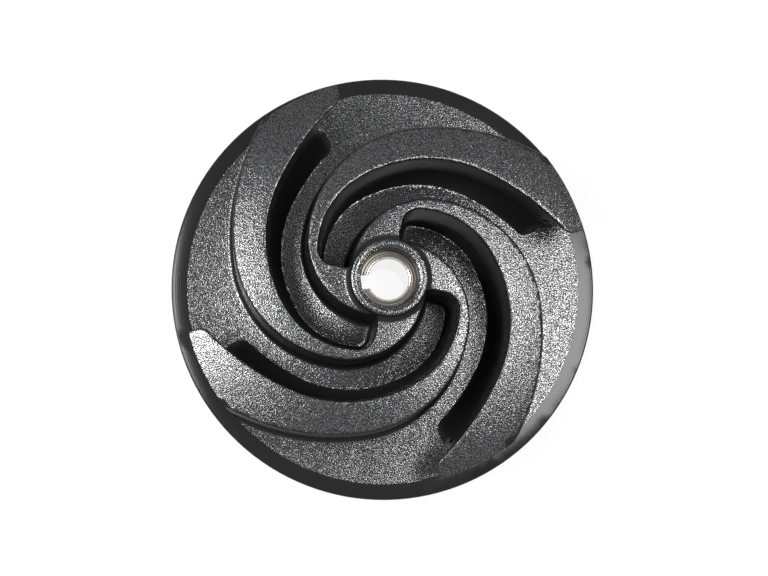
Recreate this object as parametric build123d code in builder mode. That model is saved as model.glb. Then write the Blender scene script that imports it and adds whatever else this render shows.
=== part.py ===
from build123d import *
from math import acos, atan2, cos, degrees, hypot, radians, sin, tan
import os

# A semi-open pump impeller, sand cast in one piece: a back shroud, a keyed hub and four
# spiral vanes that widen towards their tips. Millimetres and degrees. The origin is the
# centre of the back face, +Z points out of the suction side, the keyway points to -X.

# Shroud
outer_diameter = 260.0
shroud_thickness = 8.0  # at the turned rim
rim_width = 9.6  # turned ring outside the vane tips
rim_step = 0.6  # the cast floor stands this much above the turned ring
rim_chamfer = 1.0
floor_rise = 12.0  # how far the channel floor climbs from the rim to the hub

# Vane heights, above the back face
vane_height_hub = 64.5  # beside the hub
vane_height_tip = 53.0
crown_radius = 480.0  # the arc that the vane tops follow between the two

# Hub
hub_stand = 7.5  # hub face above the vane tops beside it
hub_blend = 4.5  # concave blend from the vane tops up to the hub
hub_diameter = 44.0  # at the hub face
bore_diameter = 24.0
bore_chamfer = 0.8
seat_diameter = 34.0  # counterbore for the washer and nut
seat_depth = 12.0
seat_chamfer = 0.6
key_width = 8.0
key_depth = 4.0  # cut into the bore wall

# Vane plan at the hub face. Each side is a chain of three tangent clockwise arcs whose
# radii are shares of the impeller's outside radius.
vane_count = 4
draft_angle = 2.0  # on every moulded wall
pressure_start = -2.6  # where the pressure side springs from the hub circle
pressure_shares = (0.348, 0.536, 1.002)
pressure_turns = (100.8, 76.0)
land_angle = 249.5  # the radial edge where the suction side starts
land_length = 20.2  # from the hub circle to the suction side's first arc
suction_heading = 180.5
suction_shares = (0.390, 0.607, 1.253)
suction_turns = (65.0, 57.0)
tip_face = 9.0  # radial length of the flat end of each vane

# Rounding of the vane plan and of the vane roots, and the broken edge of the vane tops
hub_corner_radius = 7.0
nose_radius = 10.0
tip_corner_radius = 5.0
root_radius = 3.0
edge_break = 0.7

# Cove along the foot of the suction side. It dies out under the rising floor at the hub
# end, and in a rounded end short of the tip.
cove_radius = 18.0
cove_sink = 0.3  # its upper edge lies this far inside the wall
cove_backing = 3.0  # solid that it keeps behind that edge, inside the vane
cove_lead = 4.0  # degrees that it starts before the first arc
cove_stop = 30.0  # length of the wall that it leaves free at the tip

# Back face
back_relief_depth = 2.0  # as-cast relief between the two turned lands
back_land_inner = 70.0  # outside diameter of the inner land
back_land_outer = 224.0  # inside diameter of the outer land
back_chamfer = 1.5

outer_radius = outer_diameter / 2
tip_radius = outer_radius - rim_width
hub_radius = hub_diameter / 2
hub_height = vane_height_hub + hub_stand
bore_radius = bore_diameter / 2
seat_radius = seat_diameter / 2
floor_height = shroud_thickness + rim_step
hub_floor_height = floor_height + floor_rise
seat_height = hub_height - seat_depth
core_height = shroud_thickness / 2  # the vanes and coves reach down to here in the shroud
right_angle = 90.0

def polar(radius, angle):
    return Vector(radius * cos(radians(angle)), radius * sin(radians(angle)))

def turn_to_reach(centre, first_angle, radius, reach):
    """Degrees that a clockwise arc turns before it lies reach away from the axis."""
    offset = hypot(centre.X, centre.Y)
    centre_angle = degrees(atan2(centre.Y, centre.X))
    swing = acos((reach**2 - radius**2 - offset**2) / (2 * radius * offset))
    return (first_angle - centre_angle - degrees(swing)) % 360

def spiral(start, heading, shares, turns, reach):
    """Tangent clockwise arcs from start out to reach, as (centre, first angle, radius, turn)."""
    arcs = []
    for index, share in enumerate(shares):
        radius = share * outer_radius
        centre = start + polar(radius, heading - right_angle)
        first_angle = heading + right_angle
        if index < len(turns):
            turn = turns[index]
        else:
            turn = turn_to_reach(centre, first_angle, radius, reach)
        arcs.append((centre, first_angle, radius, turn))
        heading -= turn
        start = centre + polar(radius, first_angle - turn)
    return arcs

def draw_arc(centre, first_angle, radius, turn):
    start = centre + polar(radius, first_angle)
    return JernArc(start, polar(1, first_angle - right_angle), radius, -turn)

def nearest_corner(sketch, point):
    return sketch.vertices().sort_by_distance(point)[0]

# One vane in plan, with the hub disc that it grows from. It runs out past the rim, to be
# turned off at the tip radius.
run_out = outer_radius + rim_width
land_corner = polar(hub_radius + land_length, land_angle)
suction_arcs = spiral(
    land_corner, suction_heading, suction_shares, suction_turns, tip_radius - tip_face
)
root = polar(hub_radius, pressure_start)
pressure_arcs = spiral(
    root, pressure_start - right_angle, pressure_shares, pressure_turns, run_out
)
with BuildSketch() as vane_outline:
    with BuildLine():
        for arc in suction_arcs:
            suction = draw_arc(*arc)
        tip_corner = suction @ 1
        end_face = Line(tip_corner, tip_corner.normalized() * run_out)
        for arc in pressure_arcs:
            pressure = draw_arc(*arc)
        Line(pressure @ 1, end_face @ 1)
        Polyline(land_corner, (0, 0), root)
    make_face()
    Circle(hub_radius)
    hub_corner = nearest_corner(vane_outline, polar(hub_radius, land_angle))
    fillet(hub_corner, hub_corner_radius)
    fillet(nearest_corner(vane_outline, land_corner), nose_radius)
    fillet(nearest_corner(vane_outline, tip_corner), tip_corner_radius)

with BuildSketch(Plane.XY.offset(hub_height)) as vane_plan:
    with PolarLocations(0, vane_count):
        add(vane_outline.sketch)

# The cove of one vane: its section, turned about the centre of each suction arc
cove_top = floor_height + cove_radius
cove_inset = (hub_height - cove_top) * tan(radians(draft_angle)) - cove_sink

def cove_section(centre, angle, edge):
    """The cove's section at angle round centre, with its upper edge that far out."""
    out = polar(1, angle)
    with BuildSketch(Plane(centre, x_dir=out, z_dir=out.cross(Vector(0, 0, 1)))) as section:
        with BuildLine():
            toe = edge - cove_radius
            back = edge + cove_backing
            RadiusArc((edge, cove_top), (toe, floor_height), cove_radius)
            Polyline(
                (toe, floor_height),
                (toe, core_height),
                (back, core_height),
                (back, cove_top),
                (edge, cove_top),
            )
        make_face()
    return section.sketch

with BuildPart() as cove:
    for index, (centre, first_angle, radius, turn) in enumerate(suction_arcs):
        if index == 0:
            first_angle += cove_lead
            turn += cove_lead
        if index == len(suction_arcs) - 1:
            turn -= degrees(cove_stop / radius)
        last_angle = first_angle - turn
        edge = radius - cove_inset
        section = cove_section(centre, last_angle, edge)
        revolve(section, axis=Axis(centre, (0, 0, 1)), revolution_arc=turn)
    end_centre = centre + polar(edge + cove_backing, last_angle)
    section = cove_section(end_centre, last_angle, -cove_backing)
    revolve(section, axis=Axis(end_centre, (0, 0, 1)), revolution_arc=right_angle)

with BuildPart() as impeller:
    # Vanes and hub, drafted from the hub face down into the shroud
    extrude(vane_plan.sketch, amount=core_height - hub_height)
    walls = impeller.faces() - impeller.faces().filter_by(Axis.Z)
    draft(walls, Plane.XY.offset(hub_height), draft_angle)

    # What the pattern and the lathe leave of them: the tip cylinder, the crowned vane tops
    # and the blend up to the hub
    with BuildSketch(Plane.XZ) as envelope:
        with BuildLine():
            blend_foot = hub_radius + hub_stand * tan(radians(draft_angle))
            tip_wall = Line((tip_radius, 0), (tip_radius, vane_height_tip))
            crown = RadiusArc(tip_wall @ 1, (blend_foot, vane_height_hub), -crown_radius)
            hub_wall = Line(crown @ 1, (hub_radius, hub_height))
            Polyline(hub_wall @ 1, (0, hub_height), (0, 0), tip_wall @ 0)
        make_face()
        fillet(nearest_corner(envelope, crown @ 1), hub_blend)
    revolve(axis=Axis.Z, mode=Mode.INTERSECT)

    # Shroud, with the turned ring outside the vane tips and a floor that climbs to the hub
    with BuildSketch(Plane.XZ) as shroud:
        with BuildLine():
            rim = Line((outer_radius, 0), (outer_radius, shroud_thickness))
            ring = Line(rim @ 1, (tip_radius, shroud_thickness))
            step = Line(ring @ 1, (tip_radius, floor_height))
            floor = TangentArc(step @ 1, (hub_radius, hub_floor_height), tangent=(-1, 0))
            Polyline(floor @ 1, (0, hub_floor_height), (0, 0), rim @ 0)
        make_face()
        chamfer(nearest_corner(shroud, rim @ 0), back_chamfer)
        chamfer(nearest_corner(shroud, rim @ 1), rim_chamfer)
    revolve(axis=Axis.Z)

    # Root fillets, where the drafted walls meet the floor
    new_edges = impeller.edges(Select.LAST).filter_by(GeomType.BSPLINE)
    root_edges = new_edges.filter_by_position(Axis.Z, shroud_thickness, hub_floor_height)
    fillet(root_edges, root_radius)

    # Broken edges round the vane tops
    crown_edges = impeller.edges().filter_by(GeomType.BSPLINE)
    top_edges = crown_edges.filter_by_position(Axis.Z, vane_height_tip - root_radius, hub_height)
    chamfer(top_edges, edge_break)

    with PolarLocations(0, vane_count):
        add(cove.part)

    # Relief in the back face, between the two turned lands
    with BuildSketch(Plane.XZ) as relief:
        with BuildLine():
            inner = back_land_inner / 2
            outer = back_land_outer / 2
            Polyline(
                (inner, 0),
                (outer, 0),
                (outer - back_relief_depth, back_relief_depth),
                (inner + back_relief_depth, back_relief_depth),
                close=True,
            )
        make_face()
    revolve(axis=Axis.Z, mode=Mode.SUBTRACT)

    # Bore, nut seat and keyway
    with Locations((0, 0, hub_height)):
        CounterBoreHole(bore_radius, seat_radius, seat_depth)
    rims = impeller.edges(Select.LAST).filter_by(GeomType.CIRCLE)
    chamfer(rims.filter_by(lambda rim: rim.radius < seat_radius - bore_chamfer), bore_chamfer)
    seat_rims = impeller.edges().filter_by(GeomType.CIRCLE).group_by(Axis.Z)[-1]
    chamfer(seat_rims.sort_by(SortBy.RADIUS)[0], seat_chamfer)
    with BuildSketch() as keyway:
        Rectangle(bore_radius + key_depth, key_width, align=(Align.MAX, Align.CENTER))
    extrude(amount=seat_height, mode=Mode.SUBTRACT)

impeller.part.label = "impeller"
os.makedirs("parts", exist_ok=True)
export_step(impeller.part, "parts/impeller.step")
print("impeller", round(impeller.part.volume), "mm3, valid", impeller.part.is_valid)
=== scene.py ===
import math

import bmesh
import bpy
from mathutils import Matrix, Vector


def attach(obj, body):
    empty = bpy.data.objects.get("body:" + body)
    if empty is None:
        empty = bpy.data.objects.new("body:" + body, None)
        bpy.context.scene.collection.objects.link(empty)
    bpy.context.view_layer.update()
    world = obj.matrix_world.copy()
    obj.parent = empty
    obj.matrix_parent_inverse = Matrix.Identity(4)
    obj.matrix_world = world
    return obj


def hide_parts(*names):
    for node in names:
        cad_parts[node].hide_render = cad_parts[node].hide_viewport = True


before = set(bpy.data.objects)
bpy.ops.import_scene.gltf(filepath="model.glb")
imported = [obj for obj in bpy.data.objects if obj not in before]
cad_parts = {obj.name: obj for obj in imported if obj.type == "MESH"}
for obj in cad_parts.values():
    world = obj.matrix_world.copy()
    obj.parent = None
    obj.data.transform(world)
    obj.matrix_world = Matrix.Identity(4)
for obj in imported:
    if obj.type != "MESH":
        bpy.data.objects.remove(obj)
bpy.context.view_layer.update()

print("frame loaded")

camera = {
    "target": (0.0, 0.0, 0.008),  # centre of the turned ring
    "distance": 1.0458,
    "tilt": 5.97,  # degrees off the impeller's axis
    "towards": 233.1,  # direction of that tilt, from +X
    "roll": -7.0,
    "focalLengthPx": 1700.0,
    "imageSize": (768, 576),
    "targetPx": (383.75, 287.3),  # where the target lies in the image
    "sensorWidth": 36.0,
    "clip": (0.05, 20.0),
}


def polar(radius, angle, z=0.0):
    # angles are in degrees
    return Vector((radius * math.cos(math.radians(angle)), radius * math.sin(math.radians(angle)), z))


def addCamera(spec):
    width, height = spec["imageSize"]
    data = bpy.data.cameras.new("camera")
    data.sensor_width = spec["sensorWidth"]
    data.lens = spec["focalLengthPx"] * data.sensor_width / width
    data.shift_x = (width / 2 - spec["targetPx"][0]) / width
    data.shift_y = (spec["targetPx"][1] - height / 2) / width
    data.clip_start, data.clip_end = spec["clip"]
    tilt = math.radians(spec["tilt"])
    away = polar(math.sin(tilt), spec["towards"], math.cos(tilt))
    turn = Vector((0, 0, 1)).rotation_difference(away).to_matrix()
    roll = Matrix.Rotation(math.radians(spec["roll"]), 3, "Z")
    place = Matrix.Translation(Vector(spec["target"]) + away * spec["distance"])
    obj = bpy.data.objects.new("camera", data)
    obj.matrix_world = place @ (turn @ roll).to_4x4()
    bpy.context.scene.collection.objects.link(obj)
    bpy.context.scene.camera = obj


addCamera(camera)
bpy.context.scene.view_settings.view_transform = "Standard"
print("camera placed")


def linearColour(hexColour):
    # sRGB hex to the linear values that shader sockets take
    parts = [int(hexColour[i:i + 2], 16) / 255 for i in (1, 3, 5)]
    return tuple(c / 12.92 if c <= 0.04045 else ((c + 0.055) / 1.055) ** 2.4 for c in parts) + (1.0,)


def addNode(tree, kind, values=None, links=None, **settings):
    # one node: settings are its properties, values its sockets, links {input: output socket}
    node = tree.nodes.new(kind)
    for name, value in settings.items():
        setattr(node, name, value)
    for name, value in (values or {}).items():
        node.inputs[name].default_value = value
    for name, source in (links or {}).items():
        tree.links.new(source, node.inputs[name])
    return node


def newMaterial(name):
    material = bpy.data.materials.new(name)
    material.use_nodes = True
    material.node_tree.nodes.clear()
    return material, material.node_tree


def closeMaterial(tree, shader):
    addNode(tree, "ShaderNodeOutputMaterial", links={"Surface": shader.outputs[0]})


enamel = {
    # painted shade: the darker black of the valleys between pebbles and of the walls and coves
    "shadedBlack": "#121212",
    # the lighter black of the level skin's crests, where no painted shade falls
    "crest": "#1a1a1e",
    "pebbleSpacing": 0.55,  # mm, the sand grains' print in the skin
    "pebbleHeight": 0.125,  # mm
    "pebbleTurn": (0.7, 0.5, 0.3),  # keeps level faces off the pattern's own planes
    "crestBand": (0.44, 0.6),  # of the pattern's height, from valley to crest
    "levelBand": (0.93, 0.99),  # of the normal's upward share, from wall to level skin
    "valleyRoughness": 0.22,
    "crestRoughness": 0.1,
    "wallRoughness": 0.4,
    "hubFace": (0.0178, 0.0222),  # the hub's end face, a little crowned
    "hubCrown": 0.45,  # mm
    "shadedReflection": 0.12,  # painted shade: the reflection is dimmed to this in the valleys and on the walls
    "ior": 1.9,
}


def hubCrown(tree, spec, position):
    # the end face of the hub as a low round bead, drawn in the shading alone
    inner, outer = spec["hubFace"]
    inPlan = addNode(
        tree, "ShaderNodeVectorMath", {1: (1.0, 1.0, 0.0)}, {0: position}, operation="MULTIPLY"
    )
    reach = addNode(tree, "ShaderNodeVectorMath", links={0: inPlan.outputs[0]}, operation="LENGTH")
    across = addNode(
        tree, "ShaderNodeMapRange", {"From Min": inner, "From Max": outer, "To Min": -1.0},
        {"Value": reach.outputs[1]},
    ).outputs["Result"]
    dip = addNode(tree, "ShaderNodeMath", links={0: across, 1: across}, operation="MULTIPLY")
    return addNode(
        tree, "ShaderNodeBump", {"Strength": 1.0, "Distance": spec["hubCrown"] / 1000},
        {"Height": dip.outputs[0]}, invert=True,
    ).outputs[0]


def castEnamel(spec):
    # Black enamel over sand-cast grey iron: a gloss film that sparks on every pebble of the level
    # skin and lies smooth on the walls and in the coves. Painted shade darkens its colour and dims
    # its reflection in the valleys between the pebbles and on the walls and coves.
    material, tree = newMaterial("castEnamel")
    place = addNode(tree, "ShaderNodeNewGeometry").outputs
    up = addNode(tree, "ShaderNodeSeparateXYZ", links={0: place["Normal"]}).outputs["Z"]
    wall, level = spec["levelBand"]
    flat = addNode(
        tree, "ShaderNodeMapRange", {"From Min": wall, "From Max": level}, {"Value": up},
        interpolation_type="SMOOTHSTEP",
    ).outputs["Result"]
    askew = addNode(
        tree, "ShaderNodeMapping", {"Rotation": spec["pebbleTurn"]}, {"Vector": place["Position"]}
    )
    pebbles = addNode(
        tree, "ShaderNodeTexNoise", {"Scale": 1000 / spec["pebbleSpacing"], "Detail": 0.0},
        {"Vector": askew.outputs[0]},
    ).outputs[0]
    bump = addNode(
        tree, "ShaderNodeBump", {"Distance": spec["pebbleHeight"] / 1000},
        {"Height": pebbles, "Strength": flat, "Normal": hubCrown(tree, spec, place["Position"])},
    )
    low, high = spec["crestBand"]
    crest = addNode(
        tree, "ShaderNodeMapRange", {"From Min": low, "From Max": high}, {"Value": pebbles},
        interpolation_type="SMOOTHSTEP",
    ).outputs["Result"]
    # painted shade mask: 1 on the crests of the level skin, 0 in the valleys and on the walls and coves
    paintedLitShare = addNode(tree, "ShaderNodeMath", links={0: crest, 1: flat}, operation="MULTIPLY").outputs[0]
    colour = addNode(
        tree, "ShaderNodeMix",
        {6: linearColour(spec["shadedBlack"]), 7: linearColour(spec["crest"])}, {0: paintedLitShare},
        data_type="RGBA",
    ).outputs[2]
    skin = addNode(
        tree, "ShaderNodeMapRange",
        {"To Min": spec["valleyRoughness"], "To Max": spec["crestRoughness"]}, {"Value": crest},
    ).outputs["Result"]
    roughness = addNode(
        tree, "ShaderNodeMix", {2: spec["wallRoughness"]}, {0: flat, 3: skin}, data_type="FLOAT",
    ).outputs[0]
    # painted shade: reflection full on the crests, dimmed in the valleys and on the walls and coves
    reflectionWithShade = addNode(
        tree, "ShaderNodeMapRange", {"To Min": spec["shadedReflection"]}, {"Value": paintedLitShare}
    ).outputs["Result"]
    shader = addNode(
        tree, "ShaderNodeBsdfPrincipled", {"IOR": spec["ior"]},
        {"Base Color": colour, "Roughness": roughness, "Specular Tint": reflectionWithShade, "Normal": bump.outputs[0]},
    )
    closeMaterial(tree, shader)
    return material


waveFactor = 20  # radians in each unit of a wave texture's scale


def toolRings(tree, spec):
    # rings round the axis, as a lathe tool leaves them, as a bumped normal
    place = addNode(tree, "ShaderNodeNewGeometry").outputs
    scale = math.tau / waveFactor * 1000 / spec["toolPitch"]
    rings = addNode(
        tree, "ShaderNodeTexWave", {"Scale": scale, "Distortion": spec["wobble"]},
        {"Vector": place["Position"]}, wave_type="RINGS", rings_direction="Z",
    ).outputs[1]
    return addNode(
        tree, "ShaderNodeBump", {"Strength": 1.0, "Distance": spec["toolHeight"] / 1000},
        {"Height": rings},
    ).outputs[0]


turned = {
    "colour": "#101011",
    "roughness": 0.16,
    "ior": 1.27,
    "toolPitch": 1.2,  # mm, coarser than the real feed so that it shows
    "toolHeight": 0.005,
    "wobble": 0.3,
}


def turnedEnamel(spec):
    # The same enamel over lathe-turned faces: an even charcoal sheen with faint tool rings.
    material, tree = newMaterial("turnedEnamel")
    shader = addNode(
        tree, "ShaderNodeBsdfPrincipled",
        {"Base Color": linearColour(spec["colour"]), "Roughness": spec["roughness"], "IOR": spec["ior"]},
        {"Normal": toolRings(tree, spec)},
    )
    closeMaterial(tree, shader)
    return material


seat = {
    "colour": "#47443f",
    "roughness": 0.3,
    "toolPitch": 1.7,  # mm, coarser than the real feed so that it shows
    "toolHeight": 0.07,
    "wobble": 0.5,
}


def turnedIron(spec):
    # Grey cast iron left bare by the lathe in the nut seat: a dull brownish metal with rings.
    material, tree = newMaterial("turnedIron")
    shader = addNode(
        tree, "ShaderNodeBsdfPrincipled",
        {"Base Color": linearColour(spec["colour"]), "Roughness": spec["roughness"], "Metallic": 1.0},
        {"Normal": toolRings(tree, spec)},
    )
    closeMaterial(tree, shader)
    return material


reamed = {
    "colour": "#efeeec",
    "roughness": 0.12,
    "scratchSpacing": 0.4,  # mm
    "scratchHeight": 0.002,  # mm
    "scratchStretch": 0.05,  # of the pattern's frequency, along the axis
    "scratchDetail": 2.0,
}


def reamedIron(spec):
    # The reamed bore and its keyway: bright bare metal with fine scratches along the axis.
    material, tree = newMaterial("reamedIron")
    place = addNode(tree, "ShaderNodeNewGeometry").outputs
    along = addNode(
        tree, "ShaderNodeMapping", {"Scale": (1.0, 1.0, spec["scratchStretch"])},
        {"Vector": place["Position"]},
    )
    scratches = addNode(
        tree, "ShaderNodeTexNoise",
        {"Scale": 1000 / spec["scratchSpacing"], "Detail": spec["scratchDetail"]},
        {"Vector": along.outputs[0]},
    ).outputs[0]
    bump = addNode(
        tree, "ShaderNodeBump", {"Strength": 1.0, "Distance": spec["scratchHeight"] / 1000},
        {"Height": scratches},
    )
    shader = addNode(
        tree, "ShaderNodeBsdfPrincipled",
        {"Base Color": linearColour(spec["colour"]), "Roughness": spec["roughness"], "Metallic": 1.0},
        {"Normal": bump.outputs[0]},
    )
    closeMaterial(tree, shader)
    return material


coves = {
    # the suction side in plan, as in the solid: three tangent clockwise arcs, in metres
    "start": (0.0422, 249.5),  # radius and angle
    "heading": 180.5,
    "radii": (0.0507, 0.07891, 0.16289),
    "turns": (65.0, 57.0),
    "reach": 0.1114,  # where the last arc ends, from the axis
    "radius": 0.018,  # of the cove
    "solidStop": 0.030,  # the solid's own cove stops this far short of the arc's end
    "straight": 0.006,
    "nose": 0.0095,  # the rounded end beyond that
    "floor": 0.0086,
    "top": 0.072,
    "draft": 2.0,
    "sink": 0.0003,  # into the wall, so that no gap shows
    "least": 0.0004,  # squared share of the radius left at the nose's last row
    "count": 4,
    "steps": (28, 20),  # faces along and across
}


def lastArc(spec):
    # centre, radius and first angle of the last suction arc
    place, heading = polar(*spec["start"]), spec["heading"]
    for i, radius in enumerate(spec["radii"]):
        centre = place + polar(radius, heading - 90)
        if i < len(spec["turns"]):
            heading -= spec["turns"][i]
            place = centre + polar(radius, heading + 90)
    return centre, radius, heading + 90


def arcEnd(centre, radius, first, reach):
    # angle at which the clockwise arc is as far from the axis as reach
    swing = math.acos((reach**2 - radius**2 - centre.length**2) / (2 * radius * centre.length))
    bearing = math.atan2(centre.y, centre.x)
    turn = (first - math.degrees(bearing + swing)) % 360
    return first - turn


tips = {
    # near its tip each suction wall leans back under the vane, out of sight from above
    "start": 0.012,  # past the solid's own cove, where the lean begins
    "full": 0.024,
    "swing": 8.5,  # degrees about the axis, at the floor
    "top": 0.053,
    "floor": 0.0085,
    "ringTop": 0.0079,
    "inside": 0.0065,  # how far inside the arc a point still belongs to the wall
    "outside": 0.0026,  # and how far outside it
    "outsidePast": 0.0085,  # the same past the end of the arc
    "past": 3.3,  # degrees past the end of the arc
    "radius": 0.1204,  # of the blunt tip
    "slack": 0.0001,
    "corner": 96.5,  # where the suction side meets the blunt tip, degrees from +X
    "span": 20.0,  # the lean dies away round the blunt tip over this
}


def wallShare(spec, arc, near):
    # how much of the lean a point on the first vane's wall takes, by its place along the wall
    centre, radius, first = lastArc(arc)
    angle = math.degrees(math.atan2(near.y - centre.y, near.x - centre.x))
    angle -= arcEnd(centre, radius, first, arc["reach"])
    away = (near.xy - centre.xy).length - radius
    run = arc["solidStop"] - math.radians(angle) * radius
    outside = spec["outsidePast"] if angle < 0 else spec["outside"]
    beside = -spec["inside"] < away < outside and near.x < centre.x
    if not beside or angle <= -spec["past"] or run <= spec["start"] or near.z <= spec["floor"]:
        return 0.0
    share = min(1.0, (run - spec["start"]) / (spec["full"] - spec["start"]))
    return share * share * (3 - 2 * share)


def leanShare(spec, arc, near):
    # the same for any point of the first vane, its blunt tip and its height counted in
    if not spec["ringTop"] < near.z < spec["top"]:
        return 0.0
    along = math.degrees(math.atan2(near.y, near.x)) - spec["corner"]
    onTip = 0 <= along < spec["span"] and abs(near.xy.length - spec["radius"]) < spec["slack"]
    share = 1 - along / spec["span"] if onTip else wallShare(spec, arc, near)
    return share * min(1.0, (spec["top"] - near.z) / (spec["top"] - spec["floor"]))


def leanTips(spec, arc, points):
    for point in points:
        for copy in range(arc["count"]):
            back = Matrix.Rotation(-math.tau * copy / arc["count"], 3, "Z")
            share = leanShare(spec, arc, back @ point.co)
            if share:
                point.co = Matrix.Rotation(math.radians(spec["swing"]) * share, 3, "Z") @ point.co
                break


casting = {
    "weld": 0.00001,
    "sharpAngle": 60,  # the broken edges shade round, the others crisp
    "slack": 0.0001,
    "uprightLimit": 0.01,  # an upright face's normal rises less than this
    "levelLimit": 0.99,  # and a level one's more than this
    "ringTop": 0.0081,
    "seatRadius": 0.017,  # the counterbore is bare iron up to here; its chamfer past it takes finish 1 and shows as a dark line round the seat's lip
    "seatLip": 0.0176,
    "seatFloor": 0.0602,
    "backLandInner": 0.035,  # the two turned lands of the back face
    "backLandOuter": 0.112,
    "backTop": 0.0016,  # faces of the lands lie under this
}


def casePart(spec, face):
    # which finish a face has: 0 as cast, 1 turned and painted, 2 nut seat, 3 bore and keyway
    centre = face.calc_center_median()
    radius = math.hypot(centre.x, centre.y)
    rise = abs(face.normal.z)
    upright = rise < spec["uprightLimit"]
    onBack = centre.z < spec["slack"] and not upright
    if onBack or spec["seatRadius"] < radius < spec["seatLip"]:
        return 1
    if radius < spec["seatLip"]:
        return 2 if centre.z > spec["seatFloor"] or rise > spec["levelLimit"] else 3
    onRing = centre.z < spec["ringTop"] or upright
    if onRing and radius > tips["radius"] - spec["slack"]:
        return 1
    if centre.z < spec["backTop"] and not spec["backLandInner"] < radius < spec["backLandOuter"]:
        return 1
    return 0


def addCasting(spec, materials):
    # A welded copy of the solid, so that its tangent faces shade as one surface
    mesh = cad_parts["impeller"].data.copy()
    mesh.name = "casting"
    obj = bpy.data.objects.new("casting", mesh)
    bpy.context.scene.collection.objects.link(obj)
    if "custom_normal" in mesh.attributes:
        mesh.attributes.remove(mesh.attributes["custom_normal"])
    mesh.materials.clear()
    for material in materials:
        mesh.materials.append(material)
    form = bmesh.new()
    form.from_mesh(mesh)
    bmesh.ops.remove_doubles(form, verts=form.verts, dist=spec["weld"])
    form.normal_update()
    for face in form.faces:
        face.material_index = casePart(spec, face)
        face.smooth = True
    limit = math.radians(spec["sharpAngle"])
    for edge in form.edges:
        edge.smooth = len(edge.link_faces) == 2 and edge.calc_face_angle(0) < limit
    leanTips(tips, coves, form.verts)
    form.to_mesh(mesh)
    form.free()
    weigh = obj.modifiers.new("weigh", "WEIGHTED_NORMAL")  # flat faces stay flat beside the broken edges
    weigh.keep_sharp = True
    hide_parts("impeller")
    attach(obj, "root")


addCasting(casting, [castEnamel(enamel), turnedEnamel(turned), turnedIron(seat), reamedIron(reamed)])
print("casting made")

def addShadedCoveEnds(spec, material):
    # The cove at the foot of each suction wall runs on towards the tip and ends in a round nose. Partly
    # painted shade: this sheet over the floor, in the enamel's dimmed wall finish, carries the dark band
    # of shade beside the wall on to that round end.
    centre, radius, first = lastArc(spec)
    end = arcEnd(centre, radius, first, spec["reach"])
    along, across = spec["steps"]
    length = spec["straight"] + spec["nose"]
    form = bmesh.new()
    for copy in range(spec["count"]):
        spin = Matrix.Rotation(math.tau * copy / spec["count"], 3, "Z")
        rows = []
        for i in range(along + 1):
            run = length * (1 - (1 - i / along) ** 2)
            late = max(0.0, (run - spec["straight"]) / spec["nose"])
            size = spec["radius"] * math.sqrt(max(1 - late**2, spec["least"]))
            angle = end + math.degrees((spec["solidStop"] - run) / radius)
            drop = spec["top"] - spec["floor"] - size
            wall = radius - drop * math.tan(math.radians(spec["draft"])) + spec["sink"]
            row = []
            for j in range(across + 1):
                down = math.radians(90 * j / across)
                out = wall - size + size * math.cos(down)
                up = spec["floor"] + size - size * math.sin(down)
                row.append(form.verts.new(spin @ (centre + polar(out, angle, up))))
            rows.append(row)
        for near, far in zip(rows, rows[1:]):
            for j in range(across):
                form.faces.new((near[j], far[j], far[j + 1], near[j + 1])).smooth = True
    bmesh.ops.recalc_face_normals(form, faces=form.faces)
    mesh = bpy.data.meshes.new("shadedCoveEnds")
    form.to_mesh(mesh)
    form.free()
    mesh.materials.append(material)
    obj = bpy.data.objects.new("shadedCoveEnds", mesh)
    bpy.context.scene.collection.objects.link(obj)
    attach(obj, "root")


addShadedCoveEnds(coves, bpy.data.materials["castEnamel"])
print("cove ends made")

studio = {
    "floorColour": "#f2f2f2",
    "floorSize": 6.0,
    "whiteShare": 0.9,  # of the floor's own light in what the camera sees
    "fill": 0.25,
    "softboxes": [
        # place, side, watts
        ((0.36, -0.03, 1.05), 0.34, 8.5),
        ((-0.62, 0.10, 1.05), 0.44, 21.0),
    ],
}


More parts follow.
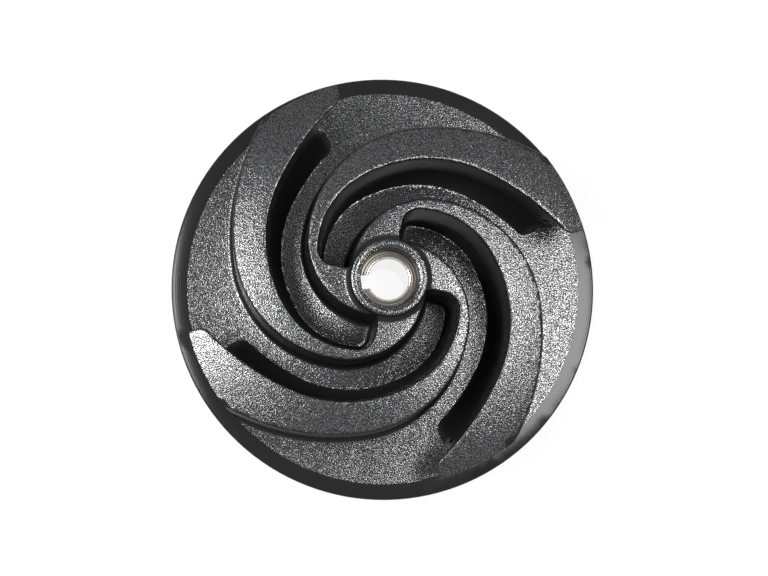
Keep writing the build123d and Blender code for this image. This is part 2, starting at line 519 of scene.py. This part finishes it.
def seenDirectly(tree):
    # 1 for rays that show the background: camera, glossy and transmission rays
    path = addNode(tree, "ShaderNodeLightPath").outputs
    first = addNode(
        tree, "ShaderNodeMath", links={0: path["Is Camera Ray"], 1: path["Is Glossy Ray"]},
        operation="MAXIMUM",
    )
    return addNode(
        tree, "ShaderNodeMath", links={0: first.outputs[0], 1: path["Is Transmission Ray"]},
        operation="MAXIMUM",
    ).outputs[0]


def addStudio(spec):
    world = bpy.data.worlds.new("studio")
    bpy.context.scene.world = world
    world.use_nodes = True
    tree = world.node_tree
    tree.nodes.clear()
    light = addNode(tree, "ShaderNodeBackground", {"Color": (1, 1, 1, 1), "Strength": spec["fill"]})
    white = addNode(tree, "ShaderNodeBackground", {"Color": (1, 1, 1, 1), "Strength": 1.0})
    mix = addNode(
        tree, "ShaderNodeMixShader",
        links={0: seenDirectly(tree), 1: light.outputs[0], 2: white.outputs[0]},
    )
    addNode(tree, "ShaderNodeOutputWorld", links={"Surface": mix.outputs[0]})

    mesh = bpy.data.meshes.new("floor")
    half = spec["floorSize"] / 2
    corners = [(-half, -half, 0), (half, -half, 0), (half, half, 0), (-half, half, 0)]
    mesh.from_pydata(corners, [], [(0, 1, 2, 3)])
    floor = bpy.data.objects.new("floor", mesh)
    bpy.context.scene.collection.objects.link(floor)
    material, tree = newMaterial("paper")
    paper = addNode(tree, "ShaderNodeBsdfDiffuse", {"Color": linearColour(spec["floorColour"])})
    glow = addNode(tree, "ShaderNodeEmission", {"Color": (1, 1, 1, 1), "Strength": 1.0})
    share = addNode(
        tree, "ShaderNodeMath", {1: spec["whiteShare"]}, {0: seenDirectly(tree)}, operation="MULTIPLY"
    )
    closeMaterial(tree, addNode(
        tree, "ShaderNodeMixShader",
        links={0: share.outputs[0], 1: paper.outputs[0], 2: glow.outputs[0]},
    ))
    mesh.materials.append(material)

    for i, (place, side, watts) in enumerate(spec["softboxes"]):
        data = bpy.data.lights.new(f"softbox{i}", "AREA")
        data.size = side
        data.energy = watts
        lamp = bpy.data.objects.new(f"softbox{i}", data)
        lamp.location = place
        lamp.rotation_mode = "QUATERNION"
        lamp.rotation_quaternion = lamp.location.to_track_quat("Z", "Y")
        bpy.context.scene.collection.objects.link(lamp)


addStudio(studio)
print("studio lit")
